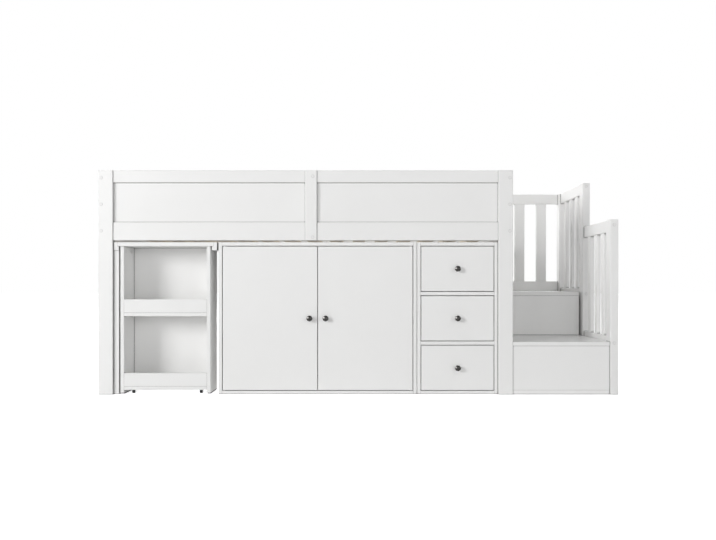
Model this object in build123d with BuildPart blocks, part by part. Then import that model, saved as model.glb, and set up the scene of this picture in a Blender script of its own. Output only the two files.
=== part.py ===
from build123d import *
import os

os.makedirs("parts", exist_ok=True)

# A cabin bed with a guard all round, a pull-out desk, a cupboard and a chest under it, and two deep
# steps with slatted guards at its foot. Millimetres, +Z up, front towards -Y, floor at Z = 0, origin
# under the middle of the whole object.

# Bed frame
bed_length = 2060
bed_depth = 970
bed_height = 1115
post_width = 72
post_depth = 40
post_ease = 2
rail_thickness = 28
rail_setback = 5
rail_ease = 1.6
top_rail_height = 60
side_rail_height = 90
side_rail_bottom = 767
stile_left = 1028
stile_width = 58
stile_cap_inset = 37
panel_thickness = 12
groove_depth = 10
panel_float = 1
fit_gap = 0.1

# End frames, between the front and rear posts
end_frame_thickness = 26
end_frame_setback = 2
end_stile_width = 60

# Slatted base
ledge_depth = 25
ledge_height = 24
ledge_lift = 3
slat_count = 15
slat_width = 70
slat_thickness = 18
slat_margin = 13
slat_ease = 2
slat_end_gap = 2

# Caps over the bolts that hold the frame together
cap_radius = 7
cap_thickness = 1.2
end_cap_drop = 37
end_cap_pitch = 132
end_cap_count = 3

# Boards of the units under the bed
unit_height = 758
unit_depth = 588
unit_setback = 12
unit_gap = 0.8
board = 18
board_ease = 1
no_ease = 0
face_taper = 45
back_thickness = 6
rebate_width = 9
front_gap = 3

# Pull-out desk
side_panel_thickness = 25
side_panel_gap = 3
runner_height = 40
ledge_overlap = 7.5
runner_side_gap = 0.5
running_gap = 0.3
desk_setback = 8
desk_top_thickness = 20
desk_top_width = 478.5
desk_top_ease = 1.5
packer_width = 6.5
packer_setback = 28
packer_margin = 4

# Bookcase under the front of the desk top
bookcase_left_gap = 14
bookcase_right_gap = 16.5
bookcase_inner_depth = 154
bookcase_foot_gap = 8
lower_shelf_lift = 22
upper_shelf_lift = 389.5
lip_height = 66

# Castors
castor_inset = 54
castor_setback = 56
wheel_radius = 9.5
wheel_width = 14
axle_radius = 2
axle_clearance = 0.06
cheek_thickness = 1.5
cheek_reach = 6
cheek_gap = 0.5
castor_plate_length = 34
castor_plate_width = 38
castor_plate_thickness = 1.5

# Cupboard
cupboard_width = 988.5
shelf_setback = 30
shelf_lift = 370
shelf_end_gap = 1
shelf_batten_width = 15
shelf_batten_height = 20
pivot_radius = 3
pivot_clearance = 0.06
pivot_inset = 8
pivot_setback = 6
pivot_grip = 12

# Chest of drawers
drawer_count = 3
slide_space = 13
drawer_side = 12
drawer_box_height = 150
drawer_box_depth = 500
drawer_box_lift = 18
drawer_bottom_thickness = 4
drawer_bottom_lift = 8
drawer_groove = 6
runner_channel_height = 45
runner_channel_depth = 10
runner_wall = 1.5
slide_wall = 3
slide_web = 1.5
slide_reach = 11

# Knobs
knob_projection = 26
knob_head_radius = 14.5
knob_head_lift = 12
knob_neck_radius = 7
knob_stile_offset = 38.5

# Stairs
stair_post_width = 40
stair_post_depth = 62
stair_middle_post = 440
stair_tops = [871, bed_height, bed_height]
lower_tread_width = 481
upper_tread_width = 473
tread_post_gap = 2
tread_thickness = 19
tread_tops = [262, 506]
tread_fronts = [2, 472]
riser_setback = 3
upper_step_inset = 4
step_base_thickness = 22
step_joint = 0.5
guard_rail_height = 60
guard_rail_thickness = 24
guard_rail_lifts = [25, 20]
guard_cap_drops = [27, 18]
guard_foot_gap = 20
guard_slat_width = 42
guard_slat_thickness = 20
guard_slat_ease = 2
guard_slat_count = 3
back_guard_inset = 6
back_guard_lift = 2
back_slat_width = 62
mortise_depth = 12

# Overall size, and the planes that everything is measured from
stair_length = lower_tread_width + tread_post_gap + stair_post_width
overall_length = bed_length + stair_length
knob_overhang = knob_projection - unit_setback
overall_depth = bed_depth + knob_overhang
bed_left = -overall_length / 2
bed_right = bed_left + bed_length
front = knob_overhang - overall_depth / 2
back = front + bed_depth


# Spans are (low, high) pairs along one axis
def length_of(span):
    return span[1] - span[0]


def middle_of(span):
    return (span[0] + span[1]) / 2


def from_left(near, far):
    """X span measured inwards from the bed's left side."""
    return (bed_left + near, bed_left + far)


def from_right(near, far):
    """X span measured inwards from the bed's right side."""
    return (bed_right - far, bed_right - near)


def from_front(near, far):
    """Y span measured back from the front of the posts."""
    return (front + near, front + far)


def from_back(near, far):
    """Y span measured forward from the back of the posts."""
    return (back - far, back - near)


def stair_span(near, far):
    """X span measured outwards from the foot of the bed."""
    return (bed_right + near, bed_right + far)


def shifted(span, low, high):
    return (span[0] + low, span[1] + high)


def timber(grain, x, y, z, easing, cuts=()):
    """Adds a straight piece whose long edges are eased. Each cut is a pair of spans of its section."""
    if grain == "x":
        plane, across, up, travel = Plane.YZ.offset(x[0]), y, z, length_of(x)
    elif grain == "y":
        plane, across, up, travel = Plane.XZ.offset(-y[0]), x, z, -length_of(y)
    else:
        plane, across, up, travel = Plane.XY.offset(z[0]), x, y, length_of(z)
    with BuildSketch(plane) as section:
        with Locations((middle_of(across), middle_of(up))):
            Rectangle(length_of(across), length_of(up))
        if easing:
            chamfer(section.vertices(), easing)
        for cut_across, cut_up in cuts:
            with Locations((middle_of(cut_across), middle_of(cut_up))):
                Rectangle(length_of(cut_across), length_of(cut_up), mode=Mode.SUBTRACT)
    extrude(section.sketch, amount=travel)


def block(x, y, z, mode=Mode.ADD):
    """Adds or cuts a square-edged block."""
    with BuildSketch(Plane.XY.offset(z[0])) as outline:
        with Locations((middle_of(x), middle_of(y))):
            Rectangle(length_of(x), length_of(y))
    extrude(outline.sketch, amount=length_of(z), mode=mode)


def bar_along_y(x, z, y, radius):
    """Adds a round bar along Y."""
    with BuildSketch(Plane.XZ.offset(-y[0])) as outline:
        with Locations((x, z)):
            Circle(radius)
    extrude(outline.sketch, amount=-length_of(y))


def bar_along_x(y, z, x, radius):
    """Adds a round bar along X."""
    with BuildSketch(Plane.YZ.offset(x[0])) as outline:
        with Locations((y, z)):
            Circle(radius)
    extrude(outline.sketch, amount=length_of(x))


def bar_along_z(x, y, z, radius, mode=Mode.ADD):
    """Adds a round bar along Z, or bores one out."""
    with BuildSketch(Plane.XY.offset(z[0])) as outline:
        with Locations((x, y)):
            Circle(radius)
    extrude(outline.sketch, amount=length_of(z), mode=mode)


def face_board(x, y, z):
    """Adds an upright board that faces the front, its face eased all round."""
    with BuildSketch(Plane.XZ.offset(-y[0] - board_ease)) as outline:
        with Locations((middle_of(x), middle_of(z))):
            Rectangle(length_of(x), length_of(z))
    extrude(outline.sketch, amount=board_ease - length_of(y))
    with BuildSketch(Plane.XZ.offset(-y[0] - board_ease)) as shoulder:
        with Locations((middle_of(x), middle_of(z))):
            Rectangle(length_of(x), length_of(z))
    extrude(shoulder.sketch, amount=board_ease, taper=face_taper)


def finish(piece, label):
    """Names a finished piece and writes it."""
    piece.part.label = label
    export_step(piece.part, "parts/" + label + ".step")


# Shared spans of the bed frame
left_posts_x = from_left(0, post_width)
right_posts_x = from_right(0, post_width)
faces = {"front": from_front, "rear": from_back}
posts_y = {name: place(0, post_depth) for name, place in faces.items()}
rails_y = {name: place(rail_setback, rail_setback + rail_thickness) for name, place in faces.items()}
stiles_y = {name: place(0, rail_setback + rail_thickness) for name, place in faces.items()}
panel_inset = rail_setback + (rail_thickness - panel_thickness) / 2
panels_y = {name: place(panel_inset, panel_inset + panel_thickness) for name, place in faces.items()}
top_rail_z = (bed_height - top_rail_height, bed_height)
side_rail_z = (side_rail_bottom, side_rail_bottom + side_rail_height)
panel_opening_z = (side_rail_z[1], top_rail_z[0])
panel_groove_z = (side_rail_z[1] - groove_depth, top_rail_z[0] + groove_depth)
stile_x = from_left(stile_left, stile_left + stile_width)
stile_cap_x = stile_x[0] + stile_cap_inset
halves_x = [(left_posts_x[1], stile_x[0]), (stile_x[1], right_posts_x[0])]
panel_seat = groove_depth - panel_float
ledge_z = (side_rail_bottom + ledge_lift, side_rail_bottom + ledge_lift + ledge_height)
deck_z = (ledge_z[1], ledge_z[1] + slat_thickness)

# End frames lie between the posts, near their outer faces
ends_x = {
    "head": from_left(end_frame_setback, end_frame_setback + end_frame_thickness),
    "foot": from_right(end_frame_setback, end_frame_setback + end_frame_thickness),
}
end_cap_x = [middle_of(ends_x["head"]), middle_of(ends_x["foot"])]
end_cap_z = [bed_height - end_cap_drop - end_cap_pitch * n for n in range(end_cap_count)]
end_y = (posts_y["front"][1], posts_y["rear"][0])
end_frame_z = (side_rail_bottom, bed_height)

# The lower cap of a guard stile is level with the slat ledge behind it
stile_cap_z = [middle_of(top_rail_z), middle_of(ledge_z)]

# Stairs
stair_posts_x = stair_span(stair_length - stair_post_width, stair_length)
stair_post_fronts = [0, stair_middle_post, bed_depth - stair_post_depth]
stair_posts_y = [from_front(near, near + stair_post_depth) for near in stair_post_fronts]
guard_x_middle = middle_of(stair_posts_x)
guard_x = (guard_x_middle - guard_rail_thickness / 2, guard_x_middle + guard_rail_thickness / 2)
guards_y = [(stair_posts_y[n][1], stair_posts_y[n + 1][0]) for n in range(2)]
guard_tops_z = [(stair_tops[n] - guard_rail_height, stair_tops[n]) for n in range(2)]
guard_middle_tops = [top + lift for top, lift in zip(tread_tops, guard_rail_lifts)]
guard_middles_z = [(top - guard_rail_height, top) for top in guard_middle_tops]
guard_feet_z = (guard_foot_gap, guard_foot_gap + guard_rail_height)
stair_cap_z = [[stair_tops[n] - guard_cap_drops[n], middle_of(guard_middles_z[n])] for n in range(2)]

# The back guard stands behind the upper tread, between the bed's rear post and the last stair post
back_guard_x = (bed_right, stair_posts_x[0])
back_guard_y = from_back(back_guard_inset, back_guard_inset + guard_rail_thickness)
back_guard_top_z = (bed_height - guard_rail_height, bed_height)
back_guard_foot = tread_tops[1] + back_guard_lift
back_guard_foot_z = (back_guard_foot, back_guard_foot + guard_rail_height)


def even_spans(span, count, width):
    """Spans of equal pieces, with equal gaps between them and at both ends."""
    gap = (length_of(span) - count * width) / (count + 1)
    return [(span[0] + gap + n * (width + gap), span[0] + (n + 1) * (width + gap)) for n in range(count)]


# Posts
def bed_posts(face):
    """The two corner posts of one side, each grooved for the guard panel."""
    groove_y = shifted(panels_y[face], -fit_gap, fit_gap)
    timber("z", left_posts_x, posts_y[face], (0, bed_height), post_ease)
    timber("z", right_posts_x, posts_y[face], (0, bed_height), post_ease)
    block((left_posts_x[1] - groove_depth, left_posts_x[1]), groove_y, panel_groove_z, Mode.SUBTRACT)
    block((right_posts_x[0], right_posts_x[0] + groove_depth), groove_y, panel_groove_z, Mode.SUBTRACT)


with BuildPart() as front_posts:
    bed_posts("front")
finish(front_posts, "front_posts")

with BuildPart() as rear_posts:
    bed_posts("rear")
finish(rear_posts, "rear_posts")


# Side guards, each a pair of framed panels that meet at a stile
def guard_top_rails(face):
    groove = (shifted(panels_y[face], -fit_gap, fit_gap), (top_rail_z[0], top_rail_z[0] + groove_depth))
    for half in halves_x:
        timber("x", half, rails_y[face], top_rail_z, rail_ease, [groove])


def guard_side_rails(face):
    groove = (shifted(panels_y[face], -fit_gap, fit_gap), (side_rail_z[1] - groove_depth, side_rail_z[1]))
    for half in halves_x:
        timber("x", half, rails_y[face], side_rail_z, rail_ease, [groove])


def guard_panels(face):
    for half in halves_x:
        block(
            shifted(half, -panel_seat, panel_seat),
            panels_y[face],
            shifted(panel_opening_z, -groove_depth, panel_seat),
        )


def guard_stile(face):
    timber("z", stile_x, stiles_y[face], end_frame_z, post_ease)
    groove_y = shifted(panels_y[face], -fit_gap, fit_gap)
    block((stile_x[0], stile_x[0] + groove_depth), groove_y, panel_groove_z, Mode.SUBTRACT)
    block((stile_x[1] - groove_depth, stile_x[1]), groove_y, panel_groove_z, Mode.SUBTRACT)


with BuildPart() as front_top_rails:
    guard_top_rails("front")
finish(front_top_rails, "front_top_rails")

with BuildPart() as front_side_rails:
    guard_side_rails("front")
finish(front_side_rails, "front_side_rails")

with BuildPart() as front_panels:
    guard_panels("front")
finish(front_panels, "front_panels")

with BuildPart() as rear_rails:
    guard_top_rails("rear")
    guard_side_rails("rear")
finish(rear_rails, "rear_rails")

with BuildPart() as rear_panels:
    guard_panels("rear")
finish(rear_panels, "rear_panels")

with BuildPart() as guard_stiles:
    guard_stile("front")
    guard_stile("rear")
finish(guard_stiles, "guard_stiles")

# End frames. The head end is closed; the foot end is closed in front and open behind, over the upper step
front_stile_y = (end_y[0], end_y[0] + end_stile_width)
rear_stile_y = (end_y[1] - end_stile_width, end_y[1])
entry_stile_y = (stair_posts_y[1][0] - end_stile_width, stair_posts_y[1][0])
head_rails_y = (front_stile_y[1], rear_stile_y[0])
foot_guard_y = (front_stile_y[1], entry_stile_y[0])


def end_panel_x(end, gap):
    middle = middle_of(ends_x[end])
    return (middle - panel_thickness / 2 - gap, middle + panel_thickness / 2 + gap)


def end_stile(end, stile_y, stile_z, groove_y):
    """A stile of an end frame, with a stopped groove for its panel."""
    timber("z", ends_x[end], stile_y, stile_z, rail_ease)
    block(end_panel_x(end, fit_gap), groove_y, panel_groove_z, Mode.SUBTRACT)


def end_rails(end, top_y, lower_y):
    """The top rail and the mattress-level rail of an end frame, grooved for the panel between them."""
    across = end_panel_x(end, fit_gap)
    timber("y", ends_x[end], top_y, top_rail_z, rail_ease, [(across, (top_rail_z[0], top_rail_z[0] + groove_depth))])
    timber("y", ends_x[end], lower_y, side_rail_z, rail_ease)
    groove_y = shifted(top_y, -groove_depth, groove_depth)
    block(across, groove_y, (side_rail_z[1] - groove_depth, side_rail_z[1]), Mode.SUBTRACT)


with BuildPart() as head_end_frame:
    end_stile("head", front_stile_y, end_frame_z, (front_stile_y[1] - groove_depth, front_stile_y[1]))
    end_stile("head", rear_stile_y, end_frame_z, (rear_stile_y[0], rear_stile_y[0] + groove_depth))
    end_rails("head", head_rails_y, head_rails_y)
finish(head_end_frame, "head_end_frame")

with BuildPart() as head_end_panel:
    block(
        end_panel_x("head", 0),
        shifted(head_rails_y, -panel_seat, panel_seat),
        shifted(panel_opening_z, -groove_depth, panel_seat),
    )
finish(head_end_panel, "head_end_panel")

with BuildPart() as foot_end_frame:
    end_stile("foot", front_stile_y, end_frame_z, (front_stile_y[1] - groove_depth, front_stile_y[1]))
    entry_groove_y = (entry_stile_y[0], entry_stile_y[0] + groove_depth)
    end_stile("foot", entry_stile_y, (side_rail_z[1], bed_height), entry_groove_y)
    end_rails("foot", foot_guard_y, (front_stile_y[1], end_y[1]))
finish(foot_end_frame, "foot_end_frame")

with BuildPart() as foot_end_panel:
    block(
        end_panel_x("foot", 0),
        shifted(foot_guard_y, -panel_seat, panel_seat),
        shifted(panel_opening_z, -groove_depth, panel_seat),
    )
finish(foot_end_panel, "foot_end_panel")

# Slatted base
ledge_x = (left_posts_x[1], right_posts_x[0])
ledge_near = rail_setback + rail_thickness
deck_y = (front + ledge_near + slat_end_gap, back - ledge_near - slat_end_gap)
slat_pitch = (length_of(ledge_x) - slat_margin * 2 - slat_width) / (slat_count - 1)

with BuildPart() as slat_ledges:
    for place in faces.values():
        timber("x", ledge_x, place(ledge_near, ledge_near + ledge_depth), ledge_z, rail_ease)
finish(slat_ledges, "slat_ledges")

with BuildPart() as bed_slats:
    for n in range(slat_count):
        slat_start = ledge_x[0] + slat_margin + n * slat_pitch
        timber("y", (slat_start, slat_start + slat_width), deck_y, deck_z, slat_ease)
finish(bed_slats, "bed_slats")


# Caps sit on the front faces of the posts and the stile, over the bolts
def stair_face(n):
    """Distances measured back from the front of a stair post."""
    return lambda near, far: (stair_posts_y[n][0] + near, stair_posts_y[n][0] + far)


def cap(x, z, place):
    """A round cap; place turns distances from a face into a Y span."""
    bar_along_y(x, z, place(-cap_thickness, 0), cap_radius)


with BuildPart() as bolt_caps:
    for x in end_cap_x:
        for z in end_cap_z:
            cap(x, z, from_front)
    for z in stile_cap_z:
        cap(stile_cap_x, z, from_front)
    for n in range(2):
        for z in stair_cap_z[n]:
            cap(guard_x_middle, z, stair_face(n))
finish(bolt_caps, "bolt_caps")

# Shared spans of the units under the bed
unit_y = from_front(unit_setback, unit_setback + unit_depth)
unit_z = (0, unit_height)
unit_inner_z = (board, unit_height - board)
back_y = (unit_y[1] - back_thickness, unit_y[1])
inner_y = (unit_y[0], back_y[0])


def unit_sides(outer_x):
    """The two sides of a unit, rebated along the rear for its back."""
    left = (outer_x[0], outer_x[0] + board)
    right = (outer_x[1] - board, outer_x[1])
    timber("z", left, unit_y, unit_z, board_ease, [((left[1] - rebate_width, left[1]), back_y)])
    timber("z", right, unit_y, unit_z, board_ease, [((right[0], right[0] + rebate_width), back_y)])


def unit_board(inner_x, z):
    timber("x", inner_x, inner_y, z, board_ease)


def unit_back(inner_x):
    seat = rebate_width - fit_gap
    block(shifted(inner_x, -seat, seat), back_y, (0, unit_height))


# Fixed side panel and rebated runners of the desk
desk_top_z = (unit_height - desk_top_thickness, unit_height)
desk_left = post_width + side_panel_gap + side_panel_thickness - ledge_overlap
desk_top_x = from_left(desk_left, desk_left + desk_top_width)
desk_y = from_front(desk_setback, unit_setback + unit_depth)
side_panel_x = from_left(post_width + side_panel_gap, post_width + side_panel_gap + side_panel_thickness)
runner_z = (unit_height - runner_height, unit_height)
left_runner_x = side_panel_x
right_runner_x = (desk_top_x[1] - ledge_overlap, desk_top_x[1] - ledge_overlap + side_panel_thickness)
cupboard_x = (right_runner_x[1] + packer_width, right_runner_x[1] + packer_width + cupboard_width)

with BuildPart() as desk_side_panel:
    timber("z", side_panel_x, unit_y, (0, runner_z[0]), board_ease)
finish(desk_side_panel, "desk_side_panel")

with BuildPart() as desk_runners:
    rebate_z = (desk_top_z[0] - running_gap, unit_height)
    left_rebate = ((desk_top_x[0] - runner_side_gap, left_runner_x[1]), rebate_z)
    right_rebate = ((right_runner_x[0], desk_top_x[1] + runner_side_gap), rebate_z)
    timber("y", left_runner_x, desk_y, runner_z, board_ease, [left_rebate])
    timber("y", right_runner_x, desk_y, runner_z, board_ease, [right_rebate])
    block(
        (right_runner_x[1], cupboard_x[0]),
        (unit_y[0] + packer_setback, unit_y[1] - packer_setback),
        shifted(runner_z, packer_margin, -packer_margin),
    )
finish(desk_runners, "desk_runners")

with BuildPart() as desk_top:
    timber("y", desk_top_x, desk_y, desk_top_z, desk_top_ease)
    chamfer(desk_top.faces().sort_by(Axis.Y)[0].edges().filter_by(Axis.X), desk_top_ease)
finish(desk_top, "desk_top")

# Bookcase that comes out with the desk top
bookcase_x = (desk_top_x[0] + bookcase_left_gap, desk_top_x[1] - bookcase_right_gap)
bookcase_inner_x = (bookcase_x[0] + board, bookcase_x[1] - board)
bookcase_inner_y = from_front(unit_setback, unit_setback + bookcase_inner_depth)
bookcase_back_y = (bookcase_inner_y[1], bookcase_inner_y[1] + back_thickness)
bookcase_y = (bookcase_inner_y[0], bookcase_back_y[1])
bookcase_z = (bookcase_foot_gap, desk_top_z[0])
shelf_lifts = [lower_shelf_lift, upper_shelf_lift]

with BuildPart() as bookcase_sides:
    left_side_x = (bookcase_x[0], bookcase_inner_x[0])
    right_side_x = (bookcase_inner_x[1], bookcase_x[1])
    left_cut = ((left_side_x[1] - rebate_width, left_side_x[1]), bookcase_back_y)
    right_cut = ((right_side_x[0], right_side_x[0] + rebate_width), bookcase_back_y)
    timber("z", left_side_x, bookcase_y, bookcase_z, board_ease, [left_cut])
    timber("z", right_side_x, bookcase_y, bookcase_z, board_ease, [right_cut])
finish(bookcase_sides, "bookcase_sides")

with BuildPart() as bookcase_shelves:
    for lift in shelf_lifts:
        timber("x", bookcase_inner_x, bookcase_inner_y, (lift, lift + board), board_ease)
finish(bookcase_shelves, "bookcase_shelves")

with BuildPart() as bookcase_lips:
    lip_y = (bookcase_inner_y[0], bookcase_inner_y[0] + board)
    for lift in shelf_lifts:
        timber("x", bookcase_inner_x, lip_y, (lift + board, lift + board + lip_height), board_ease)
finish(bookcase_lips, "bookcase_lips")

with BuildPart() as bookcase_back:
    seat = rebate_width - fit_gap
    block(shifted(bookcase_inner_x, -seat, seat), bookcase_back_y, (lower_shelf_lift, desk_top_z[0]))
finish(bookcase_back, "bookcase_back")

# Castors, fixed so that they roll along Y
castor_x = [bookcase_x[0] + castor_inset, bookcase_x[1] - castor_inset]
castor_y = front + castor_setback
cheek_inner = wheel_width / 2 + cheek_gap
cheek_outer = cheek_inner + cheek_thickness
castor_plate_z = (lower_shelf_lift - castor_plate_thickness, lower_shelf_lift)


def castor_bracket(x):
    """A mounting plate with two cheeks that hold the axle."""
    block(
        (x - castor_plate_width / 2, x + castor_plate_width / 2),
        (castor_y - castor_plate_length / 2, castor_y + castor_plate_length / 2),
        castor_plate_z,
    )
    for near, far in [(-cheek_outer, -cheek_inner), (cheek_inner, cheek_outer)]:
        block(
            (x + near, x + far),
            (castor_y - cheek_reach, castor_y + cheek_reach),
            (wheel_radius - cheek_reach, castor_plate_z[0]),
        )


def castor_axle(x):
    bar_along_x(castor_y, wheel_radius, (x - cheek_inner, x + cheek_inner), axle_radius)


def castor_wheel(x):
    """A wheel with a plain bore."""
    with BuildSketch(Plane.YZ.offset(x - wheel_width / 2)) as outline:
        with Locations((castor_y, wheel_radius)):
            Circle(wheel_radius)
            Circle(axle_radius + axle_clearance, mode=Mode.SUBTRACT)
    extrude(outline.sketch, amount=wheel_width)


with BuildPart() as castor_brackets:
    for x in castor_x:
        castor_bracket(x)
finish(castor_brackets, "castor_brackets")

with BuildPart() as castor_axles:
    for x in castor_x:
        castor_axle(x)
finish(castor_axles, "castor_axles")

with BuildPart() as castor_wheel_left:
    castor_wheel(castor_x[0])
finish(castor_wheel_left, "castor_wheel_left")

with BuildPart() as castor_wheel_right:
    castor_wheel(castor_x[1])
finish(castor_wheel_right, "castor_wheel_right")


# Knobs
def knob(x, face_y, z):
    """A turned knob on a face at face_y: a neck and a round head."""
    bar_along_y(x, z, (face_y - knob_head_lift, face_y), knob_neck_radius)
    bar_along_y(x, z, (face_y - knob_projection, face_y - knob_head_lift), knob_head_radius)


# Cupboard
cupboard_inner_x = (cupboard_x[0] + board, cupboard_x[1] - board)
door_y = (unit_y[0], unit_y[0] + board)
door_z = shifted(unit_inner_z, front_gap, -front_gap)
door_width = (length_of(cupboard_inner_x) - front_gap * 3) / 2
left_door_x = (cupboard_inner_x[0] + front_gap, cupboard_inner_x[0] + front_gap + door_width)
right_door_x = (cupboard_inner_x[1] - front_gap - door_width, cupboard_inner_x[1] - front_gap)
pivot_y = door_y[0] + pivot_setback
pivot_x = [left_door_x[0] + pivot_inset, right_door_x[1] - pivot_inset]
door_knob_x = [left_door_x[1] - knob_stile_offset, right_door_x[0] + knob_stile_offset]
door_knob_z = middle_of(door_z)
pin_foot_z = (unit_inner_z[0], door_z[0] + pivot_grip)
pin_head_z = (door_z[1] - pivot_grip, unit_inner_z[1])
shelf_z = (shelf_lift, shelf_lift + board)
shelf_y = (unit_y[0] + shelf_setback, inner_y[1])
batten_z = (shelf_z[0] - shelf_batten_height, shelf_z[0])

with BuildPart() as cupboard_sides:
    unit_sides(cupboard_x)
finish(cupboard_sides, "cupboard_sides")

with BuildPart() as cupboard_top_and_base:
    unit_board(cupboard_inner_x, (unit_inner_z[1], unit_height))
    unit_board(cupboard_inner_x, (0, board))
finish(cupboard_top_and_base, "cupboard_top_and_base")

with BuildPart() as cupboard_back:
    unit_back(cupboard_inner_x)
finish(cupboard_back, "cupboard_back")

with BuildPart() as cupboard_shelf:
    timber("x", shifted(cupboard_inner_x, shelf_end_gap, -shelf_end_gap), shelf_y, shelf_z, board_ease)
finish(cupboard_shelf, "cupboard_shelf")

with BuildPart() as shelf_battens:
    left_batten_x = (cupboard_inner_x[0], cupboard_inner_x[0] + shelf_batten_width)
    right_batten_x = (cupboard_inner_x[1] - shelf_batten_width, cupboard_inner_x[1])
    timber("y", left_batten_x, shelf_y, batten_z, no_ease)
    timber("y", right_batten_x, shelf_y, batten_z, no_ease)
finish(shelf_battens, "shelf_battens")

with BuildPart() as door_pivot_pins:
    for x in pivot_x:
        bar_along_z(x, pivot_y, shifted(pin_foot_z, 0, -panel_float), pivot_radius)
        bar_along_z(x, pivot_y, shifted(pin_head_z, panel_float, 0), pivot_radius)
finish(door_pivot_pins, "door_pivot_pins")


def cupboard_door(door_x, hinge_x):
    """An inset door, bored at its top and bottom edges for the pivot pins."""
    face_board(door_x, door_y, door_z)
    bore = pivot_radius + pivot_clearance
    bar_along_z(hinge_x, pivot_y, (door_z[0], pin_foot_z[1]), bore, Mode.SUBTRACT)
    bar_along_z(hinge_x, pivot_y, (pin_head_z[0], door_z[1]), bore, Mode.SUBTRACT)


with BuildPart() as cupboard_door_left:
    cupboard_door(left_door_x, pivot_x[0])
finish(cupboard_door_left, "cupboard_door_left")

with BuildPart() as cupboard_door_right:
    cupboard_door(right_door_x, pivot_x[1])
finish(cupboard_door_right, "cupboard_door_right")

with BuildPart() as cupboard_knob_left:
    knob(door_knob_x[0], door_y[0], door_knob_z)
finish(cupboard_knob_left, "cupboard_knob_left")

with BuildPart() as cupboard_knob_right:
    knob(door_knob_x[1], door_y[0], door_knob_z)
finish(cupboard_knob_right, "cupboard_knob_right")

# Chest of drawers
chest_x = (cupboard_x[1] + unit_gap, right_posts_x[0] - unit_gap)
chest_inner_x = (chest_x[0] + board, chest_x[1] - board)
opening_height = (length_of(unit_inner_z) - board * (drawer_count - 1)) / drawer_count
openings_z = [
    (board + n * (opening_height + board), board + n * (opening_height + board) + opening_height)
    for n in range(drawer_count)
]
box_x = shifted(chest_inner_x, slide_space, -slide_space)
box_y = (door_y[1], door_y[1] + drawer_box_depth)
runner_y = (door_y[1] + panel_float, door_y[1] + drawer_box_depth)

with BuildPart() as chest_sides:
    unit_sides(chest_x)
finish(chest_sides, "chest_sides")

with BuildPart() as chest_boards:
    unit_board(chest_inner_x, (0, board))
    for opening in openings_z:
        unit_board(chest_inner_x, (opening[1], opening[1] + board))
finish(chest_boards, "chest_boards")

with BuildPart() as chest_back:
    unit_back(chest_inner_x)
finish(chest_back, "chest_back")


def runner_section(wall_x, direction, height, reach, web, wall, middle_z, start_y, run):
    """A channel along Y whose web lies at wall_x and whose flanges point in the given direction."""
    with BuildSketch(Plane.XZ.offset(-start_y)) as channel:
        with Locations((wall_x + direction * reach / 2, middle_z)):
            Rectangle(reach, height)
        with Locations((wall_x + direction * (web + reach) / 2, middle_z)):
            Rectangle(reach - web, height - wall * 2, mode=Mode.SUBTRACT)
    extrude(channel.sketch, amount=-run)


def slide_middle(opening):
    return opening[0] + drawer_box_lift + drawer_box_height / 2


with BuildPart() as drawer_runners:
    for opening in openings_z:
        for wall_x, direction in [(chest_inner_x[0], 1), (chest_inner_x[1], -1)]:
            runner_section(
                wall_x,
                direction,
                runner_channel_height,
                runner_channel_depth,
                runner_wall,
                runner_wall,
                slide_middle(opening),
                runner_y[0],
                length_of(runner_y),
            )
finish(drawer_runners, "drawer_runners")


def drawer_front(opening):
    """An inset drawer front with eased face edges."""
    front_x = shifted(chest_inner_x, front_gap, -front_gap)
    front_z = shifted(opening, front_gap, -front_gap)
    face_board(front_x, door_y, front_z)


def drawer_box(opening):
    """Sides, inner front, back and grooved-in bottom of one drawer."""
    box_z = (opening[0] + drawer_box_lift, opening[0] + drawer_box_lift + drawer_box_height)
    bottom_z = (box_z[0] + drawer_bottom_lift, box_z[0] + drawer_bottom_lift + drawer_bottom_thickness)
    groove_z = shifted(bottom_z, -fit_gap, fit_gap)
    inner_x = shifted(box_x, drawer_side, -drawer_side)
    left_x = (box_x[0], inner_x[0])
    right_x = (inner_x[1], box_x[1])
    inner_front_y = (box_y[0], box_y[0] + drawer_side)
    box_back_y = (box_y[1] - drawer_side, box_y[1])
    timber("y", left_x, box_y, box_z, no_ease, [((left_x[1] - drawer_groove, left_x[1]), groove_z)])
    timber("y", right_x, box_y, box_z, no_ease, [((right_x[0], right_x[0] + drawer_groove), groove_z)])
    front_groove = ((inner_front_y[1] - drawer_groove, inner_front_y[1]), groove_z)
    timber("x", inner_x, inner_front_y, box_z, no_ease, [front_groove])
    timber("x", inner_x, box_back_y, (bottom_z[1], box_z[1]), no_ease)
    seat = drawer_groove - panel_float
    block(shifted(inner_x, -seat, seat), (inner_front_y[1] - seat, box_y[1]), bottom_z)


def drawer_slides(opening):
    """The two moving members, nested in the fixed runners."""
    height = runner_channel_height - (runner_wall + running_gap) * 2
    for wall_x, direction in [(box_x[0], -1), (box_x[1], 1)]:
        runner_section(
            wall_x,
            direction,
            height,
            slide_reach,
            slide_web,
            slide_wall,
            slide_middle(opening),
            box_y[0],
            length_of(box_y),
        )


drawer_names = ["bottom", "middle", "top"]
for name, opening in zip(drawer_names, openings_z):
    with BuildPart() as drawer_front_piece:
        drawer_front(opening)
    finish(drawer_front_piece, "drawer_front_" + name)

    with BuildPart() as drawer_box_piece:
        drawer_box(opening)
    finish(drawer_box_piece, "drawer_box_" + name)

    with BuildPart() as drawer_slide_piece:
        drawer_slides(opening)
    finish(drawer_slide_piece, "drawer_slides_" + name)

    with BuildPart() as drawer_knob_piece:
        knob(middle_of(chest_inner_x), door_y[0], middle_of(opening))
    finish(drawer_knob_piece, "drawer_knob_" + name)

# Stairs: three posts, two step carcasses and the slatted guards
with BuildPart() as stair_posts:
    for n in range(3):
        timber("z", stair_posts_x, stair_posts_y[n], (0, stair_tops[n]), post_ease)
finish(stair_posts, "stair_posts")

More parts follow.
